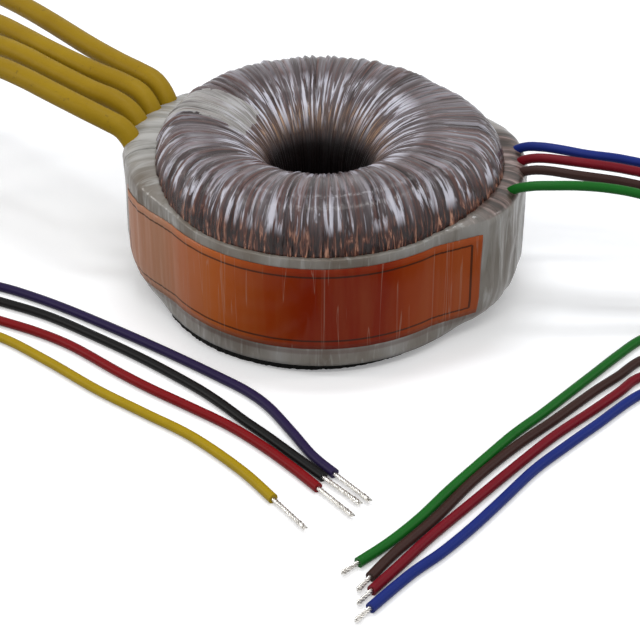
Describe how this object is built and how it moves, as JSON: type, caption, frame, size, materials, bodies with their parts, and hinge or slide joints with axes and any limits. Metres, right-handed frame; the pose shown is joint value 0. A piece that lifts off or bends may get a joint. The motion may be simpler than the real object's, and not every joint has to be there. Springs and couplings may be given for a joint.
{
  "type": "toroidal transformer",
  "caption": "Film-wrapped toroidal transformer with an orange side label, four sleeved primary leads, four secondary leads with tinned ends and a rubber mounting pad",
  "frame": {"origin": "on the axis of the ring, at the underside of the rubber pad, in the mouth of its fixing hole", "axes": "+Z is the axis of the ring and points up out of the throat; the sleeved primary leads leave towards -X and the secondary leads towards +X; the label faces -Y"},
  "size_m": [0.3058, 0.2627, 0.0593],
  "materials": {
    "core_steel": "strip-wound silicon steel, satin edges",
    "jacket_tape": "wound insulating tape",
    "enamelled_copper": "enamelled copper wire, wound radially",
    "barrier_polyester": "wound polyester film",
    "white_insulation": "white insulating tape",
    "clear_polyester": "clear glossy film pleated over copper, with bright streaks",
    "milky_tape": "milky translucent tape with creases",
    "orange_label": "orange printed label under clear film",
    "press_board": "press board",
    "solder": "soldered joints",
    "black_rubber": "black rubber with a rough cut edge",
    "yellow_sleeving": "ochre yellow insulating sleeving with small specks",
    "tinned_strand": "tinned copper strands",
    "violet_pvc": "dark violet wire insulation",
    "black_pvc": "black wire insulation",
    "red_pvc": "red wire insulation",
    "yellow_pvc": "yellow wire insulation",
    "blue_pvc": "blue wire insulation",
    "crimson_pvc": "crimson wire insulation",
    "brown_pvc": "brown wire insulation",
    "green_pvc": "green wire insulation"
  },
  "bodies": {
    "root": {"steel_core": "core_steel", "core_jacket": "jacket_tape", "primary_winding": "enamelled_copper", "barrier_film": "barrier_polyester", "secondary_winding": "enamelled_copper", "exit_strip": "white_insulation", "film_wrap": "clear_polyester", "side_band": "milky_tape", "label": "orange_label", "primary_board": "press_board", "secondary_board": "press_board", "primary_joints": "solder", "secondary_joints": "solder", "rubber_pad": "black_rubber", "sleeve_violet": "yellow_sleeving", "lead_violet": "violet_pvc", "end_violet": "tinned_strand", "sleeve_black": "yellow_sleeving", "lead_black": "black_pvc", "end_black": "tinned_strand", "sleeve_red": "yellow_sleeving", "lead_red": "red_pvc", "end_red": "tinned_strand", "sleeve_yellow": "yellow_sleeving", "lead_yellow": "yellow_pvc", "end_yellow": "tinned_strand", "lead_blue": "blue_pvc", "end_blue": "tinned_strand", "lead_crimson": "crimson_pvc", "end_crimson": "tinned_strand", "lead_brown": "brown_pvc", "end_brown": "tinned_strand", "lead_green": "green_pvc", "end_green": "tinned_strand"}
  },
  "joints": []
}
